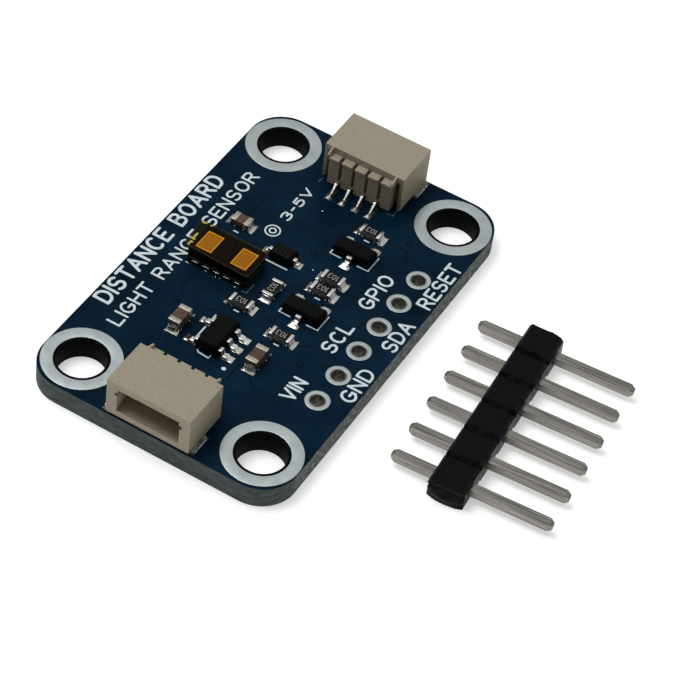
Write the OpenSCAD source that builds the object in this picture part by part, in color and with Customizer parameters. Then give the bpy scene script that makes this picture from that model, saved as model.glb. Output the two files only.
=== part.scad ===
// Distance sensor breakout board with two wire connectors and a loose pin header.
// The origin is the centre of the mounting-hole pattern, on the board's underside.
// +X points to the side with the header holes, +Y along the board and +Z up.

/* [Board] */
// Width of the board, across the row of header holes
board_w = 18.5; // [18.5:0.1:19.5]
// Length of the board
board_l = 29.5; // [29.5:0.1:30.5]
// Thickness of the board
board_t = 1.6; // [1:0.1:2]
// Radius of the board's corners
board_r = 2.5; // [1:0.1:2.6]

/* [Mounting holes] */
// Distance between mounting holes across the board
hole_dx = 13.2; // [12.8:0.1:13.2]
// Distance between mounting holes along the board
hole_dy = 23.9; // [23.5:0.1:23.9]
// Diameter of a mounting hole
hole_d = 3.2; // [2.2:0.1:3.2]
// Inner diameter of the bare metal ring round a mounting hole
ring_in_d = 3.6; // [3.4:0.1:4]
// Outer diameter of the bare metal ring round a mounting hole
ring_out_d = 5.2; // [4.6:0.1:5.2]

/* [Header holes] */
// Number of header holes, and of pins on the loose header
pins = 6; // [6:1:6]
// Distance between header holes
pitch = 2.54; // [2.54]
// Distance of the row of header holes from the centre of the board
row_x = 7.14; // [7:0.02:7.2]
// Diameter of a plated header hole
pin_hole_d = 1.0; // [0.95:0.05:1.1]
// Outer diameter of the pad round a header hole
pin_pad_d = 1.7; // [1.5:0.05:1.8]

/* [Wire connectors] */
// Width of a connector
conn_w = 6; // [6:0.1:6.4]
// Height of a connector above the board
conn_h = 2.95; // [2.9:0.05:3.2]
// Depth of a connector's top, from its open front
conn_d = 3.63; // [3.6:0.01:3.8]
// Distance between the contacts of a connector
conn_pitch = 1; // [1]
// Distance of a connector's open front from the centre of the board
conn_y = 14.65; // [14.6:0.05:14.7]

/* [Distance sensor] */
// Length of the sensor package
sensor_l = 4.4; // [4.4:0.1:4.9]
// Width of the sensor package
sensor_w = 2.4; // [2.4:0.1:2.5]
// Height of the sensor package
sensor_h = 1.0; // [1:0.05:1.56]
// Distance between the centres of the two windows
window_gap = 2.63; // [2.5:0.01:2.7]
// Thickness of the peel-off film over the sensor
film_t = 0.05; // [0.05:0.01:0.1]

/* [Pin header] */
// Width of the header's plastic body, measured along the pins
header_w = 2.45; // [2.3:0.05:2.54]
// Height of the header's plastic body as it lies
header_h = 1.6; // [1.5:0.05:2.54]
// Side of a square header pin
pin_w = 0.64; // [0.5:0.01:0.64]
// Length of a pin on its solder side, beyond the plastic body
pin_short = 3.0; // [2.5:0.1:3.5]
// Length of a pin on its plug side, beyond the plastic body
pin_long = 5.5; // [5:0.1:8]

/* [Hidden] */
$fn = 64;
// Amount by which a cutter runs past the face it opens
over = 0.1;
// Thickness of the exposed metal pads, and of their part that is sunk in the board
pad_t = 0.05;
pad_sink = 0.03;
// Height of the board's top face, and of the components' undersides
top_z = board_t;
part_z = top_z + pad_t;

// Header hole centres along the board
pin_ys = [for (i = [0:pins - 1]) (i - (pins - 1) / 2) * pitch];
hole_xy = [for (x = [-1, 1], y = [-1, 1]) [x * hole_dx / 2, y * hole_dy / 2]];

// Chip resistors and capacitors: size of a chip, and [x, y, turn] of each
res_size = [1.5, 0.76, 0.45];
res_end = 0.22;
resistors = [[0, -0.15, 90], [-1, -2.3, 0], [2.6, 8, 0], [2.7, 2.9, 0], [2.65, 1.65, 0], [2.6, -3.3, 0]];
cap_sizes = [[1.28, 0.78, 0.5], [1.55, 0.82, 0.8], [1.55, 0.82, 0.8]];
cap_end = 0.33;
capacitors = [[-4.83, 3.88, 0], [-3.35, -5.85, 90], [2.38, -5.87, 90]];

// Small-outline packages: [length, width, height] of the moulded body
transistor_size = [2.8, 1.3, 0.72];
transistors = [[2.62, 5.8], [2.65, -0.6]];
transistor_lead_x = 0.95;
regulator_size = [2.9, 1.6, 0.9];
regulator_xy = [-0.62, -5.7];
diode_size = [1.7, 1.25, 0.65];
diode_xy = [-1.05, 2.85];
draft = 0.15;
lead_w = 0.4;
lead_t = 0.12;

// Sensor package
sensor_xy = [-3.84, 0.4];
base_t = 0.25;
window_size = [1.18, 1.68];
window_t = 0.2;
window_sink = 0.02;
sensor_pad_pitch = 0.8;
// Corners of the film, from the sensor's centre: it is cut by hand and laid a little crooked
film_outline = [[-2.36, -1.1], [-2.46, -0.95], [-2.81, 1.2], [-2.7, 1.34], [2.2, 1.3], [2.32, 1.18],
                [2.38, -1.2], [2.26, -1.32]];

// Connector details
conn_lift = 0.1;
contact_w = 0.2;
contact_xs = [for (i = [0:3]) (i - 1.5) * conn_pitch];
rib_w = 0.76;
rib_back = 4.05;
rib_h = 2.45;
lip_back = 4.22;
tab_y = 0.95;

// Where the loose header lies, beside the board
header_xy = [16.6, -0.1];
header_turn = 3.7;

RES_BODIES = [for (i = [1:len(resistors)]) str("resistor_", i, "_body")];
RES_ENDS = [for (i = [1:len(resistors)]) str("resistor_", i, "_ends")];
CAP_BODIES = [for (i = [1:len(capacitors)]) str("capacitor_", i, "_body")];
CAP_ENDS = [for (i = [1:len(capacitors)]) str("capacitor_", i, "_ends")];
TR_BODIES = [for (i = [1:len(transistors)]) str("transistor_", i, "_body")];
TR_LEADS = [for (i = [1:len(transistors)]) str("transistor_", i, "_leads")];
LOWER_CONTACTS = [for (i = [1:4]) str("lower_contact_", i)];
UPPER_CONTACTS = [for (i = [1:4]) str("upper_contact_", i)];
PINS = [for (i = [1:pins]) str("header_pin_", i)];

// ---- Shared shapes ----

// Rectangle with round corners, centred, w by l
module round_rect(w, l, r) {
    square([w - 2 * r, l], center = true);
    square([w, l - 2 * r], center = true);
    for (x = [-1, 1], y = [-1, 1]) translate([x * (w / 2 - r), y * (l / 2 - r)]) circle(r);
}

// Box centred in x and y, standing on z = 0
module slab(size) {
    translate([-size[0] / 2, -size[1] / 2, 0]) cube(size);
}

// Extrude an outline drawn in (y, z) along x, centred
module along_x(w) {
    rotate([90, 0, 90]) linear_extrude(w, center = true) children();
}

// Extrude an outline drawn in (x, z) along y, centred
module along_y(l) {
    rotate([90, 0, 0]) linear_extrude(l, center = true) children();
}

// Flat ring on the board's top face and another, flush, on its underside
module board_rings(in_d, out_d) {
    for (z = [[0, pad_sink], [top_z - pad_sink, pad_t]]) translate([0, 0, z[0]])
        difference() {
            cylinder(d = out_d, h = z[1]);
            translate([0, 0, -over]) cylinder(d = in_d, h = z[1] + 2 * over);
        }
}

// Side outline of a moulded package, widest at its mid height
module drafted_outline(w, h) {
    polygon([[-w / 2 + draft, 0], [w / 2 - draft, 0], [w / 2, h / 2], [w / 2 - draft, h],
             [-w / 2 + draft, h], [-w / 2, h / 2]]);
}

// Moulded package body, centred, with all four sides drafted
module drafted_body(size) {
    intersection() {
        along_y(size[1]) drafted_outline(size[0], size[2]);
        along_x(size[0]) drafted_outline(size[1], size[2]);
    }
}

// Gull-wing lead in the (y, z) plane: it leaves a body's side at y = half, mid height h / 2,
// and its foot ends at y = reach
module gull_lead(half, reach, h, w) {
    z = h / 2;
    t = lead_t / 2;
    along_x(w) polygon([[half - 0.3, z - t], [half + 0.08, z - t], [half + 0.2, 0], [reach, 0],
                        [reach, lead_t], [half + 0.3, lead_t], [half + 0.18, z + t], [half - 0.3, z + t]]);
}

// ---- Board ----

module circuit_board() {
    color("midnightblue") difference() {
        linear_extrude(board_t) round_rect(board_w, board_l, board_r);
        for (p = hole_xy) translate([p[0], p[1], 0]) {
            translate([0, 0, -over]) cylinder(d = hole_d, h = board_t + 2 * over);
            board_rings(ring_in_d, ring_out_d);
        }
        for (y = pin_ys) translate([row_x, y, 0]) {
            translate([0, 0, -over]) cylinder(d = pin_hole_d, h = board_t + 2 * over);
            board_rings(pin_hole_d, pin_pad_d);
        }
    }
}

module mount_rings() {
    color("silver") for (p = hole_xy) translate([p[0], p[1], 0]) board_rings(ring_in_d, ring_out_d);
}

// Flat pads round both ends of each header hole
module header_rings() {
    color("silver") for (y = pin_ys) translate([row_x, y, 0]) board_rings(pin_hole_d, pin_pad_d);
}

// ---- Solder pads, one flat plate under each terminal ----

module pad(x, y, w, l) {
    translate([x, y, top_z]) slab([w, l, pad_t]);
}

// Two pads under the ends of a chip at [x, y, turn]
module chip_pads(at, size) {
    translate([at[0], at[1], 0]) rotate(at[2]) for (s = [-1, 1])
        pad(s * size[0] / 2, 0, 0.7, size[1] + 0.1);
}

// Pads round a row of leads at the places xs, across the y side
module lead_pads(xs, y, w, l) {
    for (x = xs) pad(x, y, w, l);
}

module solder_pads() {
    color("gainsboro") {
        for (r = resistors) chip_pads(r, res_size);
        for (i = [0:len(capacitors) - 1]) chip_pads(capacitors[i], cap_sizes[i]);
        for (t = transistors) translate([t[0], t[1], 0]) {
            pad(0, -transistor_size[1] / 2 - 0.5, 0.7, 0.7);
            lead_pads([-transistor_lead_x, transistor_lead_x], transistor_size[1] / 2 + 0.4, 0.7, 0.5);
        }
        translate([regulator_xy[0], regulator_xy[1], 0]) rotate(-90) {
            lead_pads([-transistor_lead_x, 0, transistor_lead_x], regulator_size[1] / 2 + 0.55, 0.55, 0.9);
            lead_pads([-transistor_lead_x, transistor_lead_x], -regulator_size[1] / 2 - 0.55, 0.55, 0.9);
        }
        translate([diode_xy[0], diode_xy[1], 0]) for (s = [-1, 1])
            pad(s * (diode_size[0] / 2 + 0.3), 0, 0.6, 0.6);
        translate([sensor_xy[0], sensor_xy[1], 0]) {
            for (s = [-1, 1])
                lead_pads([for (i = [-2:2]) i * sensor_pad_pitch], s * (sensor_w / 2 - 0.2), 0.5, 0.5);
        }
        both_connectors() {
            for (x = contact_xs) pad(x, 4.8, 0.5, 1.3);
            for (s = [-1, 1]) pad(s * 2.93, tab_y, 0.76, 1.75);
        }
    }
}

// ---- Distance sensor ----

module on_sensor() {
    translate([sensor_xy[0], sensor_xy[1], part_z]) children();
}

module sensor_substrate() {
    color("darkgreen") on_sensor() slab([sensor_l, sensor_w, base_t]);
}

// Opaque cap with a chamber and a window opening over each chip
module sensor_cap() {
    chamber = [1.7, 2.0];
    color([0.1, 0.1, 0.1]) on_sensor() difference() {
        translate([0, 0, base_t]) slab([sensor_l, sensor_w, sensor_h - base_t]);
        for (s = [-1, 1]) translate([s * window_gap / 2, 0, 0]) {
            translate([0, 0, base_t - over])
                slab([chamber[0], chamber[1], sensor_h - base_t - window_t - window_sink + over]);
            slab([window_size[0], window_size[1], sensor_h + over]);
        }
    }
}

module sensor_window(side) {
    color("orange") on_sensor() translate([side * window_gap / 2, 0, sensor_h - window_t - window_sink])
        slab([window_size[0], window_size[1], window_t]);
}

module emitter_window() { sensor_window(-1); }
module receiver_window() { sensor_window(1); }

module emitter_die() {
    color("dimgray") on_sensor() translate([-window_gap / 2, 0, base_t]) slab([0.5, 0.5, 0.15]);
}

module receiver_die() {
    color("dimgray") on_sensor() translate([window_gap / 2, 0, base_t]) slab([1.2, 1.6, 0.2]);
}

module protective_film() {
    color("saddlebrown") on_sensor() translate([0, 0, sensor_h]) linear_extrude(film_t) polygon(film_outline);
}

// ---- Wire connectors: open front at y = 0, body towards +y ----

module lower_connector() {
    translate([0, -conn_y, 0]) children();
}

module upper_connector() {
    rotate(180) lower_connector() children();
}

module both_connectors() {
    lower_connector() children();
    upper_connector() children();
}

// Side outline of one contact: a foot, a riser behind the rear wall and a beam in the socket
module contact(x) {
    translate([x, 0, part_z]) along_x(contact_w)
        polygon([[5.25, 0], [5.25, 0.12], [4.95, 0.12], [4.4, 0.6], [3.6, 0.6], [3.6, 1.5], [0.9, 1.5],
                 [0.9, 1.3], [3.4, 1.3], [3.4, 0.45], [4.32, 0.45], [4.87, 0]]);
}

// Two metal tabs that hold the housing to the board, one at each side
module tabs() {
    for (side = [0, 1]) translate([0, tab_y, part_z]) mirror([side, 0, 0])
        along_y(1.65) polygon([[2.6, 0], [3.22, 0], [3.22, 0.12], [2.8, 0.12], [2.8, 1.2], [2.6, 1.2]]);
}

// Rib behind the rear wall, with a lip at its top
module rib(x) {
    translate([x, 0, 0]) along_x(rib_w)
        polygon([[3, conn_lift], [rib_back, conn_lift], [rib_back, rib_h - 0.32], [lip_back, rib_h - 0.14],
                 [lip_back, rib_h], [3, rib_h]]);
}

// Opening of the socket, with a step in each upper corner
module socket_outline() {
    polygon([[-2.25, 0.55], [2.25, 0.55], [2.25, 1.85], [2.42, 1.85], [2.42, 2.15], [2.2, 2.15],
             [2.2, 2.45], [-2.2, 2.45], [-2.2, 2.15], [-2.42, 2.15], [-2.42, 1.85], [-2.25, 1.85]]);
}

module housing() {
    socket_depth = 3;
    translate([0, 0, top_z]) {
        difference() {
            translate([-conn_w / 2, 0, conn_lift]) cube([conn_w, conn_d, conn_h - conn_lift]);
            translate([0, (socket_depth - over) / 2, 0]) along_y(socket_depth + over) socket_outline();
            // Slots behind the rear wall for the contacts' risers, and a hollow beside the outer ribs
            for (x = contact_xs) translate([x - 0.14, 3.3, 0]) cube([0.28, 1, 2.3]);
            for (s = [-1, 1]) translate([s * 2.56 - 0.2, 3.1, 0]) cube([0.4, 1, 2.5]);
        }
        for (i = [-2:2]) intersection() {
            rib(i * conn_pitch);
            translate([-3, 3.3, 0]) cube([6, 2, 3]);
        }
        // Thin fins at the ends of the top's rear edge
        for (s = [-1, 1]) translate([s * 2.42, 0, 0]) along_x(0.14)
            polygon([[conn_d - over, 2.3], [conn_d + 0.3, 2.3], [conn_d + 0.6, 2.55], [conn_d + 0.6, 2.7],
                     [conn_d, conn_h], [conn_d - over, conn_h]]);
    }
}

module connector_housing() {
    color("tan") difference() {
        housing();
        for (x = contact_xs) contact(x);
        tabs();
    }
}

module lower_connector_housing() { lower_connector() connector_housing(); }
module upper_connector_housing() { upper_connector() connector_housing(); }
module lower_connector_tabs() { color("silver") lower_connector() tabs(); }
module upper_connector_tabs() { color("silver") upper_connector() tabs(); }
module lower_contact(i) { color("silver") lower_connector() contact(contact_xs[i]); }
module upper_contact(i) { color("silver") upper_connector() contact(contact_xs[i]); }

// ---- Moulded packages ----

module transistor_leads(i) {
    color("silver") translate([transistors[i][0], transistors[i][1], part_z])
        for (lead = [[0, 180], [-transistor_lead_x, 0], [transistor_lead_x, 0]])
            translate([lead[0], 0, 0]) rotate(lead[1])
                gull_lead(transistor_size[1] / 2, 1.2, transistor_size[2], lead_w);
}

module transistor_body(i) {
    color("black") difference() {
        translate([transistors[i][0], transistors[i][1], part_z]) drafted_body(transistor_size);
        transistor_leads(i);
    }
}

// The regulator lies along the board, with three leads on its +x side and two on its -x side
module regulator_leads() {
    color("silver") translate([regulator_xy[0], regulator_xy[1], part_z])
        for (lead = [[-1, -90], [0, -90], [1, -90], [-1, 90], [1, 90]])
            translate([0, lead[0] * transistor_lead_x, 0]) rotate(lead[1])
                gull_lead(regulator_size[1] / 2, 1.4, regulator_size[2], lead_w);
}

module regulator_body() {
    color("black") difference() {
        translate([regulator_xy[0], regulator_xy[1], part_z]) rotate(90) drafted_body(regulator_size);
        regulator_leads();
    }
}

module diode_leads() {
    color("silver") translate([diode_xy[0], diode_xy[1], part_z]) for (turn = [-90, 90]) rotate(turn)
        gull_lead(diode_size[0] / 2, 1.25, diode_size[2], 0.3);
}

module diode_body() {
    color("black") difference() {
        translate([diode_xy[0], diode_xy[1], part_z]) drafted_body(diode_size);
        diode_leads();
    }
}

// ---- Chips with metal end caps ----

module chip_core(size) {
    wall = 0.03;
    translate([0, 0, wall]) slab([size[0] - 2 * wall, size[1] - 2 * wall, size[2] - 2 * wall]);
}

module chip_body(at, size, end) {
    translate([at[0], at[1], part_z]) rotate(at[2]) {
        chip_core(size);
        slab([size[0] - 2 * end, size[1], size[2]]);
    }
}

module chip_ends(at, size, end) {
    translate([at[0], at[1], part_z]) rotate(at[2]) difference() {
        for (s = [-1, 1]) translate([s * (size[0] - end) / 2, 0, 0]) slab([end, size[1], size[2]]);
        chip_core(size);
    }
}

module resistor_body(i) { color("black") chip_body(resistors[i], res_size, res_end); }
module resistor_ends(i) { color("silver") chip_ends(resistors[i], res_size, res_end); }
module capacitor_body(i) { color("sienna") chip_body(capacitors[i], cap_sizes[i], cap_end); }
module capacitor_ends(i) { color("silver") chip_ends(capacitors[i], cap_sizes[i], cap_end); }

// ---- Loose pin header, pins along its own x ----

module on_header() {
    translate([header_xy[0], header_xy[1], header_h / 2]) rotate(header_turn) children();
}

// Pin with a tapered tip at each end
module header_pin(i) {
    tip = 0.3;
    flat = 0.18;
    start = -header_w / 2 - pin_short;
    end = header_w / 2 + pin_long;
    outline = [[start, -flat], [start + tip, -pin_w / 2], [end - tip, -pin_w / 2], [end, -flat], [end, flat],
               [end - tip, pin_w / 2], [start + tip, pin_w / 2], [start, flat]];
    color("silver") on_header() translate([0, pin_ys[i], 0]) intersection() {
        linear_extrude(pin_w, center = true) polygon(outline);
        along_y(pin_w) polygon(outline);
    }
}

// End view of one link of the strip, with half a notch at each corner
module link_outline() {
    notch_w = 0.27;
    notch_d = 0.42;
    w = pitch / 2;
    h = header_h / 2;
    polygon([[-w, notch_d - h], [notch_w - w, -h], [w - notch_w, -h], [w, notch_d - h], [w, h - notch_d],
             [w - notch_w, h], [notch_w - w, h], [-w, h - notch_d]]);
}

module header_housing() {
    bevel = 0.2;
    w = header_w / 2;
    h = header_h / 2;
    color([0.12, 0.12, 0.12]) on_header() difference() {
        intersection() {
            along_x(header_w) for (y = pin_ys) translate([y, 0]) link_outline();
            along_y(pins * pitch + 1)
                polygon([[-w, -h], [w, -h], [w, h - bevel], [w - bevel, h], [bevel - w, h], [-w, h - bevel]]);
        }
        for (y = pin_ys) translate([0, y, 0]) cube([header_w + 2 * over, pin_w, pin_w], center = true);
    }
}

// ---- Assembly ----

circuit_board();
mount_rings();
header_rings();
solder_pads();
sensor_substrate();
sensor_cap();
emitter_window();
receiver_window();
emitter_die();
receiver_die();
protective_film();
lower_connector_housing();
lower_connector_tabs();
upper_connector_housing();
upper_connector_tabs();
for (i = [0:3]) {
    lower_contact(i);
    upper_contact(i);
}
regulator_body();
regulator_leads();
diode_body();
diode_leads();
for (i = [0:len(transistors) - 1]) {
    transistor_body(i);
    transistor_leads(i);
}
for (i = [0:len(resistors) - 1]) {
    resistor_body(i);
    resistor_ends(i);
}
for (i = [0:len(capacitors) - 1]) {
    capacitor_body(i);
    capacitor_ends(i);
}
header_housing();
for (i = [0:pins - 1]) header_pin(i);
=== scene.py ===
"""Looks of a distance sensor breakout board with a loose pin header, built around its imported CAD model."""
import random
from math import atan2, cos, hypot, pi, radians, sin

import bmesh
import bpy
from mathutils import Matrix, Vector


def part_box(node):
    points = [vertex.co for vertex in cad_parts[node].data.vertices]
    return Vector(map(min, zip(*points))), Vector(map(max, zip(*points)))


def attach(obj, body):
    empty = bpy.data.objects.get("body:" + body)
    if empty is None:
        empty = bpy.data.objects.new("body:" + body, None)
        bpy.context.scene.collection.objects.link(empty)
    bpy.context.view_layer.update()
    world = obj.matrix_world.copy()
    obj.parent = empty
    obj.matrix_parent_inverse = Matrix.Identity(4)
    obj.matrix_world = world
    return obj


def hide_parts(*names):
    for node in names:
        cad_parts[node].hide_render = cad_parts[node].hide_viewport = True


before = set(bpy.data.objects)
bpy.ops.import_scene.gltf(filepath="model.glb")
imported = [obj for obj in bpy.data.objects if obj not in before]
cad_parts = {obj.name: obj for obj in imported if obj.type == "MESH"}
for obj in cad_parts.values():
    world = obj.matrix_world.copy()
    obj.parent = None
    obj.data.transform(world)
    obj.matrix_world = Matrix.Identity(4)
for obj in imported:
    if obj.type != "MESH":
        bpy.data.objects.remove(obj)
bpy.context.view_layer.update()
rng = random.Random(7)
MM = 0.001


def box_mm(node):
    """Lowest and highest corners of a CAD node, in millimetres."""
    low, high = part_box(node)
    return Vector(low) / MM, Vector(high) / MM


BOARD_HIGH = box_mm("circuit_board")[1]
TOP = BOARD_HIGH.z
PAD_TOP = box_mm("solder_pads")[1].z


# ---------------------------------------------------------------- materials

class Shader:
    """One principled material, with noise measured in millimetres of the object's own space."""

    def __init__(self, name, color, roughness, metallic=0.0, specular=0.5, **sockets):
        self.material = bpy.data.materials.new(name)
        self.material.use_nodes = True
        self.tree = self.material.node_tree
        self.bsdf = self.tree.nodes["Principled BSDF"]
        self.set("Base Color", (*color, 1))
        self.set("Roughness", roughness)
        self.set("Metallic", metallic)
        self.set("Specular IOR Level", specular)
        for socket, value in sockets.items():
            self.set(socket.replace("_", " "), value)
        coordinates = self.node("ShaderNodeTexCoord")
        self.space = self.node("ShaderNodeMapping")
        self.space.inputs["Scale"].default_value = (1 / MM, 1 / MM, 1 / MM)
        self.link(coordinates.outputs["Object"], self.space.inputs["Vector"])

    def set(self, socket, value):
        self.bsdf.inputs[socket].default_value = value

    def node(self, kind):
        return self.tree.nodes.new(kind)

    def link(self, output, target):
        self.tree.links.new(output, target)

    def noise(self, scale, detail=3, stretch=(1, 1, 1), roughness=0.55):
        """Noise with about `scale` features in a millimetre, drawn out along an axis by `stretch`."""
        vector = self.space.outputs["Vector"]
        if stretch != (1, 1, 1):
            mapping = self.node("ShaderNodeMapping")
            mapping.inputs["Scale"].default_value = stretch
            self.link(vector, mapping.inputs["Vector"])
            vector = mapping.outputs["Vector"]
        texture = self.node("ShaderNodeTexNoise")
        texture.inputs["Scale"].default_value = scale
        texture.inputs["Detail"].default_value = detail
        texture.inputs["Roughness"].default_value = roughness
        self.link(vector, texture.inputs["Vector"])
        return texture.outputs["Fac"]

    def ramp(self, value, stops):
        """Colours or greys at places along 0 to 1."""
        ramp = self.node("ShaderNodeValToRGB")
        while len(ramp.color_ramp.elements) < len(stops):
            ramp.color_ramp.elements.new(0.5)
        for element, (place, color) in zip(ramp.color_ramp.elements, stops):
            element.position = place
            element.color = (*color, 1) if isinstance(color, tuple) else (color, color, color, 1)
        self.link(value, ramp.inputs["Fac"])
        return ramp.outputs["Color"]

    def color(self, value, stops):
        self.link(self.ramp(value, stops), self.bsdf.inputs["Base Color"])
        return self

    def rough(self, value, low, high, start=0.3, end=0.7):
        self.link(self.ramp(value, [(start, low), (end, high)]), self.bsdf.inputs["Roughness"])
        return self

    def bump(self, value, height, strength=1.0):
        """Relief of `height` millimetres."""
        bump = self.node("ShaderNodeBump")
        bump.inputs["Strength"].default_value = strength
        bump.inputs["Distance"].default_value = height * MM
        self.link(value, bump.inputs["Height"])
        if self.bsdf.inputs["Normal"].is_linked:
            self.link(self.bsdf.inputs["Normal"].links[0].from_socket, bump.inputs["Normal"])
        self.link(bump.outputs["Normal"], self.bsdf.inputs["Normal"])
        return self


def mask_material():
    s = Shader("solder_mask", (0.003, 0.019, 0.043), 0.32, specular=0.03)
    s.color(s.noise(0.35, 4), [(0.3, (0.0008, 0.0080, 0.019)), (0.7, (0.0026, 0.0185, 0.040))])
    s.rough(s.noise(3, 3), 0.26, 0.40)
    return s.bump(s.noise(6, 2), 0.002).material


def trace_material():
    s = Shader("masked_copper", (0.002, 0.012, 0.026), 0.34, specular=0.03)
    s.color(s.noise(0.6, 3), [(0.3, (0.0008, 0.0070, 0.016)), (0.7, (0.0016, 0.0125, 0.027))])
    return s.bump(s.noise(6, 2), 0.002).material


def laminate_material():
    s = Shader("laminate_edge", (0.055, 0.075, 0.075), 0.75, specular=0.25)
    weave = s.noise(1.6, 5, (1, 1, 2.2), 0.6)
    s.color(weave, [(0.3, (0.034, 0.046, 0.045)), (0.52, (0.056, 0.072, 0.069)),
                    (0.75, (0.095, 0.112, 0.105))])
    return s.bump(s.noise(5, 5), 0.02).material


def routed_edge_material():
    s = Shader("routed_edge", (0.12, 0.135, 0.13), 0.8, specular=0.2)
    s.color(s.noise(2.6, 6, (1, 1, 1.4), 0.75),
            [(0.38, (0.040, 0.048, 0.047)), (0.55, (0.12, 0.135, 0.13)), (0.68, (0.42, 0.45, 0.43))])
    return s.bump(s.noise(4, 5), 0.035).material


def hole_material():
    s = Shader("drilled_wall", (0.003, 0.004, 0.005), 0.6, specular=0.03)
    s.color(s.noise(1.8, 5, (0.5, 0.5, 4)),
            [(0.45, (0.0008, 0.0012, 0.0016)), (0.8, (0.0060, 0.0075, 0.0085))])
    return s.bump(s.noise(4, 4, (0.5, 0.5, 3)), 0.02).material


def tin_material():
    s = Shader("tinned_copper", (0.55, 0.58, 0.58), 0.32, metallic=1)
    s.color(s.noise(0.7, 4), [(0.3, (0.44, 0.50, 0.51)), (0.7, (0.55, 0.60, 0.60))])
    s.rough(s.noise(2, 3), 0.28, 0.40)
    return s.bump(s.noise(1.2, 3), 0.006).material


def plated_bore_material():
    s = Shader("plated_bore", (0.16, 0.155, 0.14), 0.5, metallic=0.6)
    s.color(s.noise(5, 4), [(0.35, (0.075, 0.073, 0.066)), (0.7, (0.36, 0.35, 0.315))])
    return s.bump(s.noise(5, 3), 0.03).material


def solder_material():
    s = Shader("solder", (0.72, 0.72, 0.68), 0.14, metallic=1)
    s.color(s.noise(2, 3), [(0.3, (0.50, 0.50, 0.47)), (0.7, (0.86, 0.86, 0.81))])
    s.rough(s.noise(3, 2), 0.08, 0.22)
    return s.bump(s.noise(2.2, 1), 0.022).material


def dull_solder_material():
    s = Shader("dull_solder", (0.12, 0.12, 0.11), 0.32, metallic=1)
    s.color(s.noise(2.5, 4), [(0.35, (0.06, 0.062, 0.06)), (0.7, (0.24, 0.24, 0.225))])
    s.rough(s.noise(3, 3), 0.22, 0.42)
    return s.bump(s.noise(2.4, 3), 0.03).material


def lead_material():
    s = Shader("lead_metal", (0.72, 0.72, 0.70), 0.25, metallic=1)
    s.rough(s.noise(8, 3), 0.18, 0.34)
    return s.bump(s.noise(10, 2), 0.004).material


def connector_material():
    s = Shader("connector_nylon", (0.30, 0.27, 0.21), 0.5, specular=0.03)
    s.color(s.noise(6, 5), [(0.32, (0.335, 0.295, 0.220)), (0.68, (0.380, 0.337, 0.254))])
    s.rough(s.noise(2, 4), 0.40, 0.56)
    return s.bump(s.noise(12, 3), 0.006).material


def package_material():
    s = Shader("moulding_compound", (0.003, 0.003, 0.003), 0.5, specular=0.05)
    s.color(s.noise(9, 4), [(0.35, (0.0016, 0.0018, 0.0018)), (0.7, (0.0044, 0.0048, 0.0048))])
    return s.bump(s.noise(22, 3), 0.006).material


def resistor_material():
    s = Shader("resistor_glaze", (0.006, 0.006, 0.006), 0.3, specular=0.08)
    s.color(s.noise(4, 3), [(0.3, (0.003, 0.003, 0.003)), (0.7, (0.009, 0.009, 0.008))])
    return s.bump(s.noise(6, 3), 0.006).material


def resistor_side_material():
    s = Shader("resistor_ceramic", (0.12, 0.12, 0.11), 0.6, specular=0.1)
    s.color(s.noise(6, 4), [(0.3, (0.07, 0.07, 0.065)), (0.7, (0.17, 0.17, 0.155))])
    return s.bump(s.noise(14, 3), 0.004).material


def capacitor_material():
    s = Shader("capacitor_ceramic", (0.09, 0.055, 0.04), 0.42, specular=0.2)
    s.color(s.noise(3, 4), [(0.3, (0.070, 0.042, 0.030)), (0.7, (0.115, 0.074, 0.055))])
    return s.bump(s.noise(16, 3), 0.004).material


def terminal_material():
    s = Shader("dull_tin", (0.50, 0.47, 0.42), 0.38, metallic=1)
    s.color(s.noise(5, 4), [(0.3, (0.36, 0.335, 0.27)), (0.7, (0.58, 0.55, 0.47))])
    return s.bump(s.noise(3, 2), 0.012).material


def window_material():
    s = Shader("infrared_window", (0.52, 0.44, 0.32), 0.3, specular=0.2)
    s.color(s.noise(9, 5), [(0.3, (0.40, 0.34, 0.235)), (0.7, (0.49, 0.41, 0.29))])
    return s.bump(s.noise(8, 4), 0.004).material


def rim_material():
    s = Shader("window_rim", (0.9, 0.9, 0.9), 0.35)
    s.color(s.noise(5, 2), [(0.3, (0.80, 0.80, 0.88)), (0.7, (0.92, 0.92, 0.95))])
    return s.material


def film_material(name, opacity, dark, light):
    """Thin amber film: it tints what is behind it, and shines a little."""
    s = Shader(name, light, 0.2, specular=0.25)
    s.color(s.noise(0.9, 3), [(0.3, dark), (0.7, light)])
    s.bump(s.noise(0.8, 2), 0.03)
    clear = s.node("ShaderNodeBsdfTransparent")
    clear.inputs["Color"].default_value = (0.97, 0.79, 0.40, 1)
    mix = s.node("ShaderNodeMixShader")
    mix.inputs["Fac"].default_value = opacity
    s.link(clear.outputs["BSDF"], mix.inputs[1])
    s.link(s.bsdf.outputs["BSDF"], mix.inputs[2])
    s.link(mix.outputs["Shader"], s.tree.nodes["Material Output"].inputs["Surface"])
    return s.material


def silicon_material():
    s = Shader("silicon", (0.10, 0.10, 0.12), 0.15, metallic=0.6)
    return s.bump(s.noise(20, 2), 0.001).material


# Near-black sheet that paints the sensor's shadow on the board
def sensor_shadow_material():
    s = Shader("painted_sensor_shadow", (0.0008, 0.0012, 0.0016), 0.5, specular=0.03)
    return s.bump(s.noise(5, 3), 0.006).material


def sensor_base_material():
    s = Shader("sensor_laminate", (0.012, 0.020, 0.014), 0.5)
    return s.bump(s.noise(10, 3), 0.004).material


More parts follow.
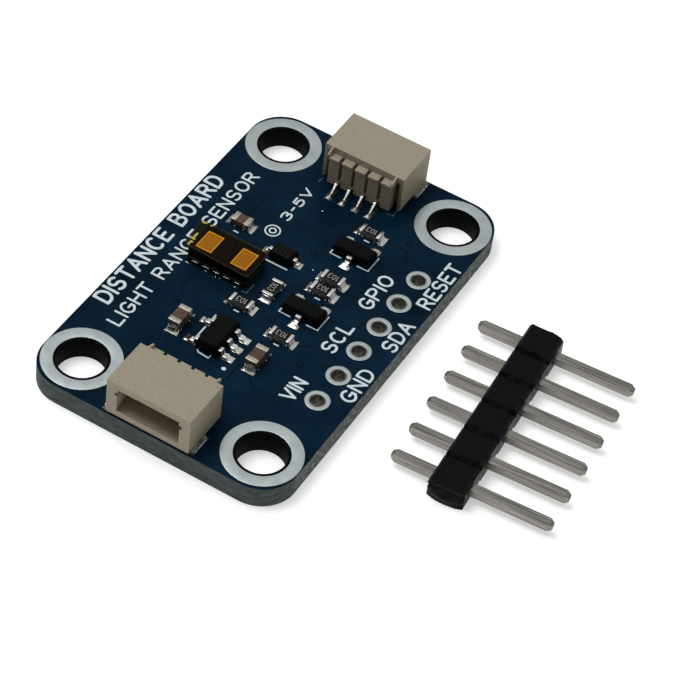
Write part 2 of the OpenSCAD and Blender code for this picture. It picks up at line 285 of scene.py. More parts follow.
# Lighter copy of the header's nylon for every face but the top: painted light on the sides and bevels
def header_lit_side_material():
    s = Shader("header_side_painted_light", (0.010, 0.010, 0.0115), 0.38, specular=0.10)
    s.color(s.noise(2.2, 4), [(0.35, (0.0035, 0.0036, 0.0042)), (0.75, (0.017, 0.0172, 0.0195))])
    s.rough(s.noise(3, 4), 0.30, 0.50)
    return s.bump(s.noise(6, 4), 0.016).material


def header_material():
    s = Shader("header_nylon", (0.003, 0.003, 0.0035), 0.42, specular=0.06)
    s.color(s.noise(5, 5), [(0.3, (0.0018, 0.0019, 0.0023)), (0.75, (0.0046, 0.0048, 0.0054))])
    s.rough(s.noise(3, 4), 0.34, 0.55)
    return s.bump(s.noise(14, 4), 0.010).material


def pin_material(turn):
    """Dull plated pin, with drawing marks along it."""
    s = Shader("pin_metal", (0.30, 0.29, 0.265), 0.38, metallic=1)
    s.space.inputs["Rotation"].default_value = (0, 0, -turn)
    grain = s.noise(2.2, 5, (0.12, 5, 5))
    s.color(grain, [(0.3, (0.12, 0.115, 0.10)), (0.55, (0.26, 0.25, 0.225)), (0.75, (0.46, 0.445, 0.41))])
    s.rough(grain, 0.28, 0.48)
    return s.bump(grain, 0.014).material


def ink_material():
    s = Shader("white_ink", (0.66, 0.76, 0.80), 0.55, specular=0.3)
    s.color(s.noise(4, 4), [(0.3, (0.58, 0.68, 0.72)), (0.7, (0.74, 0.83, 0.86))])
    return s.bump(s.noise(12, 3), 0.004).material


def thin_ink_material():
    s = Shader("thin_ink", (0.12, 0.15, 0.17), 0.55, specular=0.2)
    s.color(s.noise(5, 4), [(0.35, (0.012, 0.026, 0.038)), (0.7, (0.13, 0.17, 0.19))])
    return s.bump(s.noise(12, 3), 0.004).material


def faint_marking_material():
    s = Shader("faint_marking", (0.018, 0.018, 0.018), 0.5, specular=0.1)
    s.color(s.noise(12, 4), [(0.35, (0.005, 0.005, 0.005)), (0.7, (0.016, 0.016, 0.016))])
    return s.material


def marking_material():
    s = Shader("laser_marking", (0.30, 0.31, 0.31), 0.6)
    s.color(s.noise(14, 4), [(0.3, (0.22, 0.23, 0.23)), (0.7, (0.40, 0.41, 0.41))])
    return s.material


# ---------------------------------------------------------------- pieces

def add_object(name, mesh, body, materials):
    piece = bpy.data.objects.new(name, mesh)
    bpy.context.scene.collection.objects.link(piece)
    for material in materials:
        mesh.materials.append(material)
    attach(piece, body)
    return piece


def from_bmesh(name, bm, body, materials, smooth=True):
    bmesh.ops.recalc_face_normals(bm, faces=bm.faces)
    mesh = bpy.data.meshes.new(name)
    bm.to_mesh(mesh)
    bm.free()
    if smooth:
        mesh.shade_smooth()
    return add_object(name, mesh, body, materials)


def stand_in(piece, node):
    """Let a piece stand for a CAD node, with even shading over its flat faces."""
    weighted = piece.modifiers.new("even_normals", "WEIGHTED_NORMAL")
    weighted.keep_sharp = True
    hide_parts(node)
    return piece


def softened(node, body, materials, bevel=0.03, segments=2, grow=0.0, pick=None, reshape=None):
    """A CAD node's shape with rounded edges, which stands for the node.
    `pick` gives a face's material, and `reshape` works on the mesh before its edges are rounded."""
    bm = bmesh.new()
    bm.from_mesh(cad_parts[node].data)
    bmesh.ops.remove_doubles(bm, verts=bm.verts, dist=1e-7)
    bmesh.ops.dissolve_limit(bm, angle_limit=radians(0.5), verts=bm.verts, edges=bm.edges)
    bm.normal_update()
    if reshape:
        reshape(bm)
    if grow:
        for vert in bm.verts:
            vert.co += vert.normal * grow * MM
    sharp = [e for e in bm.edges if len(e.link_faces) == 2 and e.calc_face_angle() > radians(28)]
    if bevel:
        bmesh.ops.bevel(bm, geom=sharp, offset=bevel * MM, segments=segments, profile=0.5,
                        affect="EDGES", clamp_overlap=True)
    if pick:
        for face in bm.faces:
            face.material_index = pick(face)
    return stand_in(from_bmesh(node + "_shape", bm, body, materials), node)


# Flattened strokes, for ink and copper: each is a low rounded ridge along a path

RING_STEPS = 6
CAP_STEPS = 4


def stroke(bm, path, half, height, z):
    """Add a ridge with round ends along `path` ((x, y) in mm), standing on height z."""
    points = [Vector(p) for p in path]
    count = len(points)
    tangents = []
    for i in range(count):
        ahead = points[min(i + 1, count - 1)] - points[max(i - 1, 0)]
        tangents.append(ahead.normalized())
    rings = []
    for step in range(CAP_STEPS):
        turn = pi / 2 * (1 - step / CAP_STEPS)
        rings.append((points[0] - tangents[0] * half * sin(turn), tangents[0], cos(turn)))
    for point, tangent in zip(points, tangents):
        rings.append((point, tangent, 1))
    for step in range(1, CAP_STEPS + 1):
        turn = pi / 2 * step / CAP_STEPS
        rings.append((points[-1] + tangents[-1] * half * sin(turn), tangents[-1], cos(turn)))
    rows = []
    for centre, tangent, size in rings:
        normal = Vector((-tangent.y, tangent.x))
        size = max(size, 0.02)
        row = []
        for k in range(RING_STEPS + 1):
            turn = pi * k / RING_STEPS
            place = centre + normal * half * size * cos(turn)
            rise = height * (size * sin(turn)) ** 0.5
            row.append(bm.verts.new((place.x * MM, place.y * MM, (z + rise) * MM)))
        rows.append(row)
    for a, b in zip(rows, rows[1:]):
        for k in range(RING_STEPS):
            bm.faces.new((a[k], a[k + 1], b[k + 1], b[k]))
        bm.faces.new((a[RING_STEPS], a[0], b[0], b[RING_STEPS]))
    bm.faces.new(rows[0])
    bm.faces.new(rows[-1])


def arc(cx, cy, rx, ry, start, end, steps=10):
    """Points along part of an ellipse, from one angle to another, in degrees."""
    return [(cx + rx * cos(radians(start + (end - start) * i / steps)),
             cy + ry * sin(radians(start + (end - start) * i / steps))) for i in range(steps + 1)]


# Letters on a grid 4 wide and 6 high, drawn as strokes
GLYPHS = {
    "A": (4.4, [[(0, 0), (2.2, 6)], [(2.2, 6), (4.4, 0)], [(0.8, 2), (3.6, 2)]]),
    "C": (4, [arc(2.1, 3, 2.1, 3, 55, 305, 14)]),
    "D": (4, [[(0, 0), (0, 6)], [(0, 6), (1.6, 6)] + arc(1.6, 3, 2.4, 3, 90, -90, 12) + [(0, 0)]]),
    "E": (3.6, [[(3.6, 6), (0, 6)], [(0, 6), (0, 0)], [(0, 0), (3.6, 0)], [(0, 3.1), (3, 3.1)]]),
    "G": (4.2, [arc(2.2, 3, 2.2, 3, 50, 340, 16), [(2.4, 2.8), (4.3, 2.8)], [(4.3, 2.8), (4.3, 1.2)]]),
    "I": (0, [[(0, 0), (0, 6)]]),
    "L": (3.4, [[(0, 6), (0, 0)], [(0, 0), (3.4, 0)]]),
    "N": (4, [[(0, 0), (0, 6)], [(0, 6), (4, 0)], [(4, 0), (4, 6)]]),
    "O": (4.4, [arc(2.2, 3, 2.2, 3, 0, 360, 20)]),
    "P": (3.8, [[(0, 0), (0, 6)], [(0, 6), (2.2, 6)] + arc(2.2, 4.4, 1.6, 1.6, 90, -90, 8) + [(0, 2.8)]]),
    "R": (3.9, [[(0, 0), (0, 6)], [(0, 6), (2.2, 6)] + arc(2.2, 4.5, 1.5, 1.5, 90, -90, 8) + [(0, 3)],
                [(2.1, 3), (3.9, 0)]]),
    "S": (3.8, [arc(1.95, 4.4, 1.85, 1.6, 35, 250, 10) + arc(1.85, 1.55, 1.9, 1.6, 70, -145, 10)]),
    "T": (4, [[(0, 6), (4, 6)], [(2, 6), (2, 0)]]),
    "V": (4.4, [[(0, 6), (2.2, 0)], [(2.2, 0), (4.4, 6)]]),
    "0": (3.6, [arc(1.8, 3, 1.8, 3, 0, 360, 16)]),
    "-": (1.8, [[(0, 3), (1.8, 3)]]),
    "5": (3.5, [[(3.2, 6), (0.5, 6)], [(0.5, 6), (0.3, 3.4)],
                [(0.3, 3.4)] + arc(1.5, 2, 1.9, 2, 100, -140, 12)]),
    "B": (3.8, [[(0, 0), (0, 6)], [(0, 6), (2, 6)] + arc(2, 4.6, 1.4, 1.4, 90, -90, 8) + [(0, 3.2)],
                [(0, 3.2), (2.2, 3.2)] + arc(2.2, 1.6, 1.6, 1.6, 90, -90, 8) + [(0, 0)]]),
    "H": (4, [[(0, 0), (0, 6)], [(4, 0), (4, 6)], [(0, 3.1), (4, 3.1)]]),
    "1": (1.4, [[(0, 4.9), (1.2, 6)], [(1.2, 6), (1.2, 0)]]),
    "3": (3.5, [arc(1.5, 4.5, 1.8, 1.5, 145, -80, 10), arc(1.5, 1.55, 1.9, 1.6, 80, -145, 10)]),
    " ": (2, []),
}
GLYPH_HEIGHT = 6
LETTER_GAP = 1.8


def lettering(bm, text, start, along, height, half, rise, z, length=None):
    """Write `text` from `start`, reading in the direction `along` (degrees), `height` mm tall.
    `length` stretches or squeezes it to fit."""
    total = sum(GLYPHS[c][0] + LETTER_GAP for c in text) - LETTER_GAP
    scale = height / GLYPH_HEIGHT
    wide = length / total if length else scale
    direction = Vector((cos(radians(along)), sin(radians(along))))
    upward = Vector((-direction.y, direction.x))
    origin = Vector(start)
    pen = 0
    for letter in text:
        width, strokes = GLYPHS[letter]
        for path in strokes:
            stroke(bm, [origin + direction * (pen + x) * wide + upward * y * scale for x, y in path],
                   half, rise, z)
        pen += width + LETTER_GAP


# ---------------------------------------------------------------- board

RINGS_HIGH = box_mm("mount_rings")[1]
RING_R = 2.6
HOLE_X, HOLE_Y = RINGS_HIGH.x - RING_R, RINGS_HIGH.y - RING_R
BARE_R = 1.86


CONNECTOR_PADS_FROM = 8.9
# Widths of the bands that belong to a straight edge and to a rounded corner
EDGE_BAND = 0.1
CORNER_BAND = 2.5
# The plated holes all lie this near to the board's middle line, and the mounting holes beyond it
PLATED_WITHIN = 8


def board_face(face):
    """0: masked face, 1: cut edge of the laminate, 2: bare hole and its rim, 3: wall of a plated hole,
    4: routed edge along the two long sides."""
    middle = face.calc_center_median() / MM
    if abs(face.normal.z) > 0.9:
        reach = max(hypot(abs(v.co.x / MM) - HOLE_X, abs(v.co.y / MM) - HOLE_Y) for v in face.verts)
        return 2 if reach < BARE_R else 0
    at_edge = abs(middle.x) > BOARD_HIGH.x - EDGE_BAND or abs(middle.y) > BOARD_HIGH.y - EDGE_BAND
    corner = abs(middle.x) > BOARD_HIGH.x - CORNER_BAND and abs(middle.y) > BOARD_HIGH.y - CORNER_BAND
    outward = face.normal.x * middle.x + face.normal.y * middle.y > 0
    if at_edge or (corner and outward):
        return 4 if abs(face.normal.x) > 0.999 else 1
    return 3 if abs(middle.y) < PLATED_WITHIN else 2


RING_SIDES = 72
RING_ROUND = 0.018
# How far a header ring is drawn in from its outer edge and out from its bore, and the dark lip inside it
NARROWED = (0.04, 0.045)
LIP_R = 0.50
LIP_RISE = 0.016


def make_rings(node):
    """Each flat ring of a CAD node as a turned shape with rounded edges."""
    bm = bmesh.new()
    for low, high in islands(node):
        centre = (low + high) / 2
        outer = (high.x - low.x) / 2
        inner = min(hypot(v.co.x / MM - centre.x, v.co.y / MM - centre.y)
                    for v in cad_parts[node].data.vertices)
        if node == "header_rings":
            outer, inner = outer - NARROWED[0], inner + NARROWED[1]
        profile = []
        for r, z, start in ((outer, high.z, 0), (inner, high.z, 90),
                            (inner, low.z, 180), (outer, low.z, 270)):
            r += RING_ROUND * (1 if r == inner else -1)
            z += RING_ROUND / 2 * (1 if z == low.z else -1)
            profile += arc(r, z, RING_ROUND, RING_ROUND / 2, start, start + 90, 3)
        rows = []
        for step in range(RING_SIDES):
            turn = 2 * pi * step / RING_SIDES
            rows.append([bm.verts.new(((centre.x + r * cos(turn)) * MM,
                                       (centre.y + r * sin(turn)) * MM, z * MM))
                         for r, z in profile])
        for a, b in zip(rows, rows[1:] + rows[:1]):
            for k in range(len(profile)):
                after = (k + 1) % len(profile)
                bm.faces.new((a[k], a[after], b[after], b[k]))
    stand_in(from_bmesh(node + "_shape", bm, "board", [tin_material()]), node)


def pad_face(face):
    """0: pad of a component, 1: pad of a connector's contact or tab."""
    return 1 if abs(face.calc_center_median().y) / MM > CONNECTOR_PADS_FROM else 0


def make_board():
    materials = [mask_material(), laminate_material(), hole_material(), plated_bore_material(),
                 routed_edge_material()]
    softened("circuit_board", "board", materials, bevel=0.04, pick=board_face)
    make_rings("mount_rings")
    make_rings("header_rings")
    bm = bmesh.new()
    for low, high in islands("header_rings"):
        if high.z > TOP:
            middle = (low + high) / 2
            stroke(bm, arc(middle.x, middle.y, LIP_R, LIP_R, 0, 360, 32), 0.035, LIP_RISE, TOP - 0.004)
    from_bmesh("bore_lips", bm, "board", [plated_bore_material()])
    softened("solder_pads", "board", [solder_material(), dull_solder_material()], bevel=0.015, pick=pad_face)


# ---------------------------------------------------------------- solder

def islands(node):
    """The box of each separate solid in a CAD node, in millimetres."""
    bm = bmesh.new()
    bm.from_mesh(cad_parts[node].data)
    bmesh.ops.remove_doubles(bm, verts=bm.verts, dist=1e-7)
    bm.verts.ensure_lookup_table()
    left = set(bm.verts)
    boxes = []
    for seed in bm.verts:
        if seed not in left:
            continue
        left.discard(seed)
        queue, points = [seed], []
        while queue:
            vert = queue.pop()
            points.append(vert.co / MM)
            for edge in vert.link_edges:
                other = edge.other_vert(vert)
                if other in left:
                    left.discard(other)
                    queue.append(other)
        boxes.append((Vector([min(p[i] for p in points) for i in range(3)]),
                      Vector([max(p[i] for p in points) for i in range(3)])))
    bm.free()
    return boxes


MOUND_STEPS = 12
MOUND_SINK = 0.03
MOUND_SKIN = 0.03


def mound(bm, pad, lead, height):
    """Solder over the rectangle `pad`, (x0, y0, x1, y1) in mm.
    It rises to `height` where the rectangle `lead` is."""
    x0, y0, x1, y1 = pad
    middle = ((x0 + x1) / 2, (y0 + y1) / 2)
    half = ((x1 - x0) / 2, (y1 - y0) / 2)
    wobble = rng.uniform(0, 6.3)
    top, bottom = [], []
    for i in range(MOUND_STEPS + 1):
        for j in range(MOUND_STEPS + 1):
            u, v = 2 * i / MOUND_STEPS - 1, 2 * j / MOUND_STEPS - 1
            # a square pulled in at its corners
            x = middle[0] + half[0] * u * (1 - 0.16 * v ** 4)
            y = middle[1] + half[1] * v * (1 - 0.16 * u ** 4)
            inside = 1 - max(abs(u), abs(v))
            away = hypot(max(lead[0] - x, 0, x - lead[2]), max(lead[1] - y, 0, y - lead[3]))
            rim = inside * min(half) + 1e-6
            near = rim / (rim + away)
            rise = MOUND_SKIN * min(1, inside * 4) ** 0.5 + height * near ** 2.2 * min(1, inside * 3.5)
            rise *= 1 + 0.10 * sin(3.1 * u + wobble) * cos(2.3 * v + wobble)
            top.append(bm.verts.new((x * MM, y * MM, (PAD_TOP - 0.01 + rise) * MM)))
            bottom.append(bm.verts.new((x * MM, y * MM, (PAD_TOP - MOUND_SINK) * MM)))
    row = MOUND_STEPS + 1
    for i in range(MOUND_STEPS):
        for j in range(MOUND_STEPS):
            a = i * row + j
            bm.faces.new((top[a], top[a + row], top[a + row + 1], top[a + 1]))
            bm.faces.new((bottom[a + 1], bottom[a + row + 1], bottom[a + row], bottom[a]))
    rim_line = [i * row for i in range(row)] + [MOUND_STEPS * row + j for j in range(1, row)]
    rim_line += [i * row + MOUND_STEPS for i in range(MOUND_STEPS - 1, -1, -1)]
    rim_line += list(range(MOUND_STEPS - 1, 0, -1))
    for a, b in zip(rim_line, rim_line[1:] + rim_line[:1]):
        bm.faces.new((top[a], bottom[a], bottom[b], top[b]))


# How high the solder climbs on each kind of lead, in mm
CLIMB = {"resistor": 0.30, "capacitor": 0.45, "transistor": 0.15, "regulator": 0.15, "diode": 0.15,
         "lower_contact": 0.07, "upper_contact": 0.07, "lower_connector": 0.02, "upper_connector": 0.02}


# Beads of solder beside a connector's tab
TAB_SOLDER = ([(3.27, -13.94), (3.27, -13.08)], 0.035), ([(3.22, -14.2), (3.26, -14.22)], 0.07)
TAB_SOLDER_RISE = 0.05

# How far solder spreads past its pad, and the least overlap of a pad and a lead that is soldered
SPREAD = 0.03
LEAST_OVERLAP = 0.02

# Beads in front of the sensor: place along its edge, half width and distance from the edge
SENSOR_BEADS = ((-5.82, 0.17, 0.38), (-4.44, 0.10, 0.33), (-3.66, 0.07, 0.40), (-3.36, 0.07, 0.37),
                (-2.16, 0.10, 0.42))

# Painted shadow: a near-black band along the sensor's front edge, where the sensor's shadow falls
SHADOW_BAND_HALF = 0.24
SHADOW_BAND_RISE = 0.014


def make_solder():
    leads = []
    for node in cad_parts:
        if node.endswith(("_ends", "_leads", "_tabs")) or "_contact_" in node:
            climb = next(CLIMB[kind] for kind in CLIMB if node.startswith(kind))
            leads += [(low, high, climb) for low, high in islands(node)]
    bm, dull = bmesh.new(), bmesh.new()
    for low, high in islands("solder_pads"):
        target = dull if min(abs(low.y), abs(high.y)) > CONNECTOR_PADS_FROM else bm
        for lead_low, lead_high, climb in leads:
            x0, x1 = max(low.x, lead_low.x), min(high.x, lead_high.x)
            y0, y1 = max(low.y, lead_low.y), min(high.y, lead_high.y)
            if min(x1 - x0, y1 - y0) > LEAST_OVERLAP:
                pad = (low.x - SPREAD, low.y - SPREAD, high.x + SPREAD, high.y + SPREAD)
                mound(target, pad, (x0, y0, x1, y1), climb)
                break
    sensor_low, sensor_high = box_mm("sensor_substrate")
    edge = sensor_low.y
    for x, half, out in SENSOR_BEADS:
        mound(bm, (x - half, edge - out - 0.07, x + half, edge - out + 0.07),
              (x - half / 2, edge - out - 0.02, x + half / 2, edge - out + 0.02), 0.04)
    for turn in (1, -1):
        for side in (1, -1):
            for path, half in TAB_SOLDER:
                stroke(bm, [(turn * side * x, turn * y) for x, y in path], half, TAB_SOLDER_RISE, PAD_TOP)
    from_bmesh("solder_joints", bm, "board", [solder_material()])
    # Painted shadow of the sensor, laid on the board along its front edge
    shadow_band = bmesh.new()
    stroke(shadow_band, [(sensor_low.x + 0.15, edge - 0.1), (sensor_high.x - 0.15, edge - 0.1)],
           SHADOW_BAND_HALF, SHADOW_BAND_RISE, TOP - 0.004)
    from_bmesh("sensor_shadow_band", shadow_band, "board", [sensor_shadow_material()])
    from_bmesh("connector_solder", dull, "board", [dull_solder_material()])


# ---------------------------------------------------------------- components

def make_components():
    package, lead = package_material(), lead_material()
    for name in ("transistor_1", "transistor_2", "regulator", "diode"):
        softened(name + "_body", "board", [package], bevel=0.035)
        softened(name + "_leads", "board", [lead], bevel=0.02)
    glaze, ceramic, end = resistor_material(), resistor_side_material(), lead_material()
    for i in range(1, 7):
        softened(f"resistor_{i}_body", "board", [glaze, ceramic], bevel=0.015,
                 pick=lambda face: 0 if face.normal.z > 0.5 else 1)
        softened(f"resistor_{i}_ends", "board", [end], bevel=0.03, grow=0.012)
    body, terminal = capacitor_material(), terminal_material()
    for i in range(1, 4):
        softened(f"capacitor_{i}_body", "board", [body], bevel=0.05)
        softened(f"capacitor_{i}_ends", "board", [terminal], bevel=0.07, segments=3, grow=0.025)


# Where a contact narrows: lower than this, and further than this from the connector's open front
CONTACT_FRONT = 0.1
LOW_CONTACT = TOP + 0.3
WAIST_FROM = 4.6
WAIST = 0.6


def waisted(bm):
    """Narrow a contact where it slopes down to its foot."""
    middle = sum(v.co.x for v in bm.verts) / len(bm.verts)
    for vert in bm.verts:
        from_front = BOARD_HIGH.y - CONTACT_FRONT - abs(vert.co.y / MM)
        if vert.co.z / MM < LOW_CONTACT and from_front > WAIST_FROM:
            vert.co.x = middle + (vert.co.x - middle) * WAIST


def make_connectors():
    nylon, strip = connector_material(), lead_material()
    for side in ("lower", "upper"):
        softened(side + "_connector_housing", "board", [nylon], bevel=0.05, segments=3)
        softened(side + "_connector_tabs", "board", [dull_solder_material()], bevel=0.02)
        for i in range(1, 5):
            softened(f"{side}_contact_{i}", "board", [strip], bevel=0.02, reshape=waisted)


RIM = 0.045


def make_sensor():
    softened("sensor_substrate", "board", [sensor_base_material()], bevel=0.02)
    softened("sensor_cap", "board", [package_material()], bevel=0.05, segments=3)
    window, rim = window_material(), rim_material()
    for name in ("emitter", "receiver"):
        softened(name + "_window", "board", [window], bevel=0.0)
        softened(name + "_die", "board", [silicon_material()], bevel=0.0)
        low, high = box_mm(name + "_window")
        bm = bmesh.new()
        x0, y0, x1, y1 = low.x + RIM, low.y + RIM, high.x - RIM, high.y - RIM
        corners = [(x0, y0), (x1, y0), (x1, y1), (x0, y1)]
        for start, end in zip(corners, corners[1:] + corners[:1]):
            stroke(bm, [start, end], RIM, 0.016, high.z - 0.004)
        from_bmesh(name + "_rim", bm, "board", [rim])
    film = film_material("amber_film", 0.05, (0.045, 0.050, 0.060), (0.075, 0.082, 0.095))
    softened("protective_film", "film", [film], bevel=0.012)
    # Painted highlight: a lighter, more opaque amber line laid along the film's outline
    low, high = box_mm("protective_film")
    outline = {(round(v.co.x / MM, 3), round(v.co.y / MM, 3))
               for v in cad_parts["protective_film"].data.vertices}
    middle = (low + high) / 2
    outline = sorted(outline, key=lambda p: atan2(p[1] - middle.y, p[0] - middle.x))
    bm = bmesh.new()
    for start, end in zip(outline, outline[1:] + outline[:1]):
        stroke(bm, [start, end], 0.025, 0.012, high.z - 0.006)
    edge = film_material("film_edge_highlight", 0.4, (0.05, 0.032, 0.015), (0.11, 0.075, 0.038))
    from_bmesh("film_edge_highlight", bm, "film", [edge])


HEADER_TURN = radians(3.7)
HEADER_PITCH = 2.54
HALF_LENGTH = 3 * HEADER_PITCH
HALF_WIDTH = 1.225
HEADER_HIGH = box_mm("header_housing")[1].z


def torn_ends(bm):
    """Where the strip was snapped off: the top keeps its full length, over a hollow and a torn web."""
    low, high = box_mm("header_housing")
    middle = (low + high) / 2
    turn = Matrix.Rotation(HEADER_TURN, 3, "Z")
    back = turn.transposed()
    half = HALF_LENGTH
    ends = [f for f in bm.faces if abs((back @ (f.calc_center_median() / MM - middle)).y) > half - 0.3]
    edges = list({e for f in ends for e in f.edges})
    bmesh.ops.subdivide_edges(bm, edges=edges, cuts=5, use_grid_fill=True)
    for vert in bm.verts:
        place = back @ (vert.co / MM - middle)
        side = 1 if place.y > 0 else -1
        if abs(place.y) < half - 0.32:
            continue
        across = place.x / HALF_WIDTH
        height = vert.co.z / MM / HEADER_HIGH
        if height > 0.8:
            reach = half + (0.02 if side < 0 else -0.05) - 0.16 * max(0, across) ** 2
        elif height > 0.52:
            reach = half - 0.26
        elif height > 0.42:
            reach = half - 0.10
        else:
            reach = half + 0.10 - 0.26 * across ** 2 if side < 0 else half - 0.12
        place.y = side * (reach + rng.uniform(-0.035, 0.035))
        place.z += rng.uniform(-0.03, 0.0) if height > 0.1 else 0
        vert.co = (turn @ place + middle) * MM


def make_header():
    # Tops take the dark nylon, all other faces the lighter copy with painted light
    softened("header_housing", "header", [header_material(), header_lit_side_material()], bevel=0.05, segments=2,
             pick=lambda face: 0 if face.normal.z > 0.9 else 1, reshape=torn_ends)
    pin = pin_material(HEADER_TURN)
    for i in range(1, 7):
        softened(f"header_pin_{i}", "header", [pin], bevel=0.035)


# ---------------------------------------------------------------- printing and copper

# Printing and copper stand on this height, set a little into the board
INK_RISE = 0.018
INK_Z = TOP - 0.004
COPPER_RISE = 0.012
TRACE_HALF = 0.07
TRACE_START_X = 6.2
# Marks on the parts' tops: how far they stand out, and how deep they are set
MARK_RISE = 0.008
MARK_SINK = 0.002


# Label of each header hole: its text, baseline, start and length
PIN_LABELS = (("VIN", 6.0, -7.3, 1.8), ("SCL", 6.0, -2.4, 2.6), ("GPIO", 6.0, 2.2, 3.2),
              ("GND", 9.1, -5.3, 2.9), ("SDA", 9.1, -0.1, 2.7), ("RESET", 9.1, 4.5, 4.4))


def make_ink():
    bm = bmesh.new()
    lettering(bm, "DISTANCE BOARD", (-7.92, -7.1), 90, 1.08, 0.115, INK_RISE, INK_Z, 13.7)
    lettering(bm, "LIGHT RANGE SENSOR", (-6.27, -8.3), 90, 0.90, 0.085, INK_RISE, INK_Z, 16.6)
    lettering(bm, "3-5V", (-2.56, 6.0), 90, 0.62, 0.075, INK_RISE, INK_Z, 3.3)
    for radius in (0.22, 0.5):
        stroke(bm, arc(-2.9, 4.6, radius, radius, 0, 360, 24), 0.06, INK_RISE, INK_Z)
    for text, x, start, length in PIN_LABELS:
        lettering(bm, text, (x - 0.1, start), 90, 0.92, 0.095, INK_RISE, INK_Z, length)
    lines = []
    for dx, dy in ((0, 0), (0.03, -6.4)):
        lines += [[(1.19 + dx, 6.4 + dy), (1.19 + dx, 5.1 + dy), (1.99 + dx, 5.1 + dy)],
                  [(3.27 + dx, 5.1 + dy), (4.05 + dx, 5.1 + dy), (4.05 + dx, 6.5 + dy)]]
    lines += [[(-1.84, -3.98), (-1.84, -4.4)], [(-1.84, -5.2), (-1.84, -6.3)], [(-1.05, -4.0), (-0.18, -4.0)],
              [(-1.17, -7.12), (-1.07, -7.25), (-0.24, -7.32), (-0.26, -7.08)], [(-1.9, 2.1), (-0.3, 2.1)]]
    for x, y in ((2.6, 7.42), (2.7, 2.32), (2.65, 1.07), (2.6, -3.88), (-1.0, -2.88), (-4.8, 3.09)):
        lines.append([(x - 0.15, y), (x + 0.15, y)])
    for path in lines:
        stroke(bm, path, 0.065, INK_RISE, INK_Z)
    for x, y, radius in ((1.0, -7.5, 0.15), (-1.2, 8.1, 0.05), (1.1, 3.1, 0.05)):
        stroke(bm, [(x - 0.01, y), (x + 0.01, y)], radius, INK_RISE, INK_Z)
    from_bmesh("printing", bm, "board", [ink_material()])

    # Corner marks printed so thinly that the board shows through
    bm = bmesh.new()
    for path in ([(-1.30, -0.3), (-1.30, -1.2), (-1.6, -1.2)], [(2.45, 10.45), (2.82, 10.47), (2.79, 11.35)],
                 [(-2.85, 10.36), (-2.78, 10.78)]):
        stroke(bm, path, 0.05, INK_RISE, INK_Z)
    from_bmesh("thin_printing", bm, "board", [thin_ink_material()])

    marks = bmesh.new()
    for i in range(1, 7):
        low, high = box_mm(f"resistor_{i}_body")
        middle = (low + high) / 2
        along = 180 if high.x - low.x > high.y - low.y else 270
        direction = Vector((cos(radians(along)), sin(radians(along))))
        upward = Vector((-direction.y, direction.x))
        start = middle.xy - direction * 0.36 - upward * 0.21
        lettering(marks, "103", start, along, 0.42, 0.028, MARK_RISE, high.z - MARK_SINK, 0.72)
    from_bmesh("resistor_marks", marks, "board", [marking_material()])

    marks = bmesh.new()
    low, high = box_mm("diode_body")
    middle = (low + high) / 2
    level = high.z - MARK_SINK
    for x in (-0.45, -0.1, 0.15, 0.4):
        stroke(marks, [(middle.x + x, middle.y - 0.3), (middle.x + x, middle.y + 0.3)],
               0.035, MARK_RISE, level)
    stroke(marks, [(middle.x - 0.6, middle.y - 0.42), (middle.x + 0.6, middle.y - 0.42)],
           0.03, MARK_RISE, level)
    from_bmesh("diode_marks", marks, "board", [faint_marking_material()])


def make_copper():
    bm = bmesh.new()
    pads_y = [HEADER_PITCH * (i - 2.5) for i in range(6)]
    paths = [
        [(TRACE_START_X, pads_y[0]), (5.6, -7.9), (3.4, -7.9), (2.4, -6.9)],
        [(TRACE_START_X, pads_y[2]), (5.9, -2.6), (4.5, -2.6), (3.6, -3.3)],
        [(TRACE_START_X, pads_y[3]), (5.9, 0.0), (4.6, 0.0), (3.4, -0.3)],
        [(TRACE_START_X, pads_y[4]), (5.4, 5.2), (4.6, 5.2), (3.8, 6.6)],
        [(TRACE_START_X, pads_y[5]), (5.2, 8.2), (3.6, 8.2)],
        [(-0.5, 9.2), (-0.5, 8.3), (0.9, 6.9), (1.6, 6.9)],
        [(0.5, 9.2), (0.5, 8.6), (1.5, 8.0)],
        [(-1.5, 9.2), (-2.0, 8.6), (-4.2, 8.6), (-4.9, 7.9), (-4.9, 4.4)],
        [(-0.5, -9.2), (-0.5, -8.5), (0.8, -7.4), (0.8, -6.9)],
        [(0.5, -9.2), (1.6, -8.1), (1.6, -4.4)],
        [(-1.5, -9.2), (-3.35, -7.5), (-3.35, -7.0)],
        [(-5.0, -1.0), (-5.0, -3.2), (-4.4, -3.8), (-2.4, -3.8), (-2.0, -3.2)],
        [(0.0, -1.2), (0.0, -2.1)],
        [(0.4, 0.6), (1.5, 1.7)],
        [(-0.1, 2.85), (1.2, 2.85)],
    ]
    for path in paths:
        for start, end in zip(path, path[1:]):
            stroke(bm, [start, end], TRACE_HALF, COPPER_RISE, INK_Z)
    for x, y in ((4.7, -4.4), (-4.6, -4.4), (4.5, 3.9), (0.4, 4.4),
                 (-0.9, 8.9), (5.0, 8.9), (-5.6, 6.2), (1.2, -2.2)):
        stroke(bm, arc(x, y, 0.2, 0.2, 0, 360, 16), 0.09, COPPER_RISE + 0.008, INK_Z)
    from_bmesh("masked_copper", bm, "board", [trace_material()])


# ---------------------------------------------------------------- studio

def make_camera():
    data = bpy.data.cameras.new("camera")
    data.sensor_width = 36
    data.lens = 136.6
    data.clip_start = 0.01
    camera = bpy.data.objects.new("camera", data)
    right = Vector((0.85602, 0.50723, 0.09973))
    up = Vector((-0.43427, 0.60096, 0.67102))
    back = Vector((0.28043, -0.61771, 0.73471))
    turn = Matrix((right, up, back)).transposed().to_4x4()
    camera.matrix_world = Matrix.Translation(Vector((53.526, -104.826, 124.485)) * MM) @ turn
    bpy.context.scene.collection.objects.link(camera)
    bpy.context.scene.camera = camera


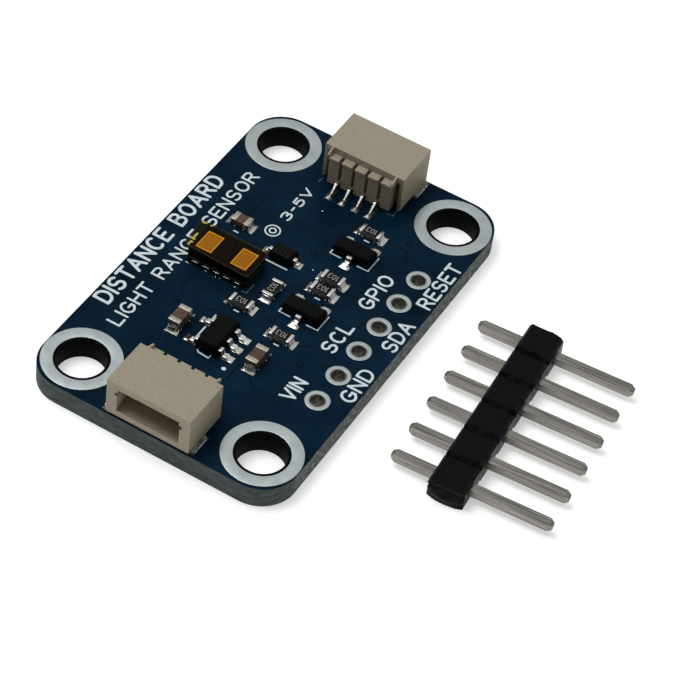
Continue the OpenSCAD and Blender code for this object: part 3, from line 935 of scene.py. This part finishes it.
def area_light(name, place, size, power, target=(4, 0, 0)):
    data = bpy.data.lights.new(name, "AREA")
    data.shape = "DISK"
    data.size = size * MM
    data.energy = power
    light = bpy.data.objects.new(name, data)
    light.location = Vector(place) * MM
    direction = Vector(target) - Vector(place)
    light.rotation_euler = direction.to_track_quat("-Z", "Y").to_euler()
    bpy.context.scene.collection.objects.link(light)


def make_studio():
    s = Shader("studio_floor", (0.93, 0.93, 0.93), 0.9, specular=0.0, Emission_Strength=0.40)
    s.set("Emission Color", (1, 1, 1, 1))
    mesh = bpy.data.meshes.new("floor")
    reach = 2.0
    mesh.from_pydata([(-reach, -reach, 0), (reach, -reach, 0), (reach, reach, 0), (-reach, reach, 0)], [],
                     [(0, 1, 2, 3)])
    floor = bpy.data.objects.new("floor", mesh)
    mesh.materials.append(s.material)
    bpy.context.scene.collection.objects.link(floor)
    area_light("key", (-110, -20, 270), 180, 0.42)
    world = bpy.data.worlds.new("studio")
    world.use_nodes = True
    tree = world.node_tree
    background = tree.nodes["Background"]
    coordinates = tree.nodes.new("ShaderNodeTexCoord")
    # brightest overhead and towards the far side, dark towards the near side
    facing = tree.nodes.new("ShaderNodeVectorMath")
    facing.operation = "DOT_PRODUCT"
    facing.inputs[1].default_value = (0, 0.45, 0.89)
    ramp = tree.nodes.new("ShaderNodeValToRGB")
    ramp.color_ramp.elements[0].position = 0.05
    ramp.color_ramp.elements[0].color = (0.03, 0.03, 0.032, 1)
    ramp.color_ramp.elements[1].position = 0.95
    ramp.color_ramp.elements[1].color = (0.80, 0.80, 0.80, 1)
    tree.links.new(coordinates.outputs["Generated"], facing.inputs[0])
    tree.links.new(facing.outputs["Value"], ramp.inputs["Fac"])
    tree.links.new(ramp.outputs["Color"], background.inputs["Color"])
    background.inputs["Strength"].default_value = 0.85
    bpy.context.scene.world = world
    bpy.context.scene.view_settings.view_transform = "Standard"


make_camera()
make_studio()
make_board()
make_solder()
make_components()
make_connectors()
make_sensor()
make_header()
make_ink()
make_copper()
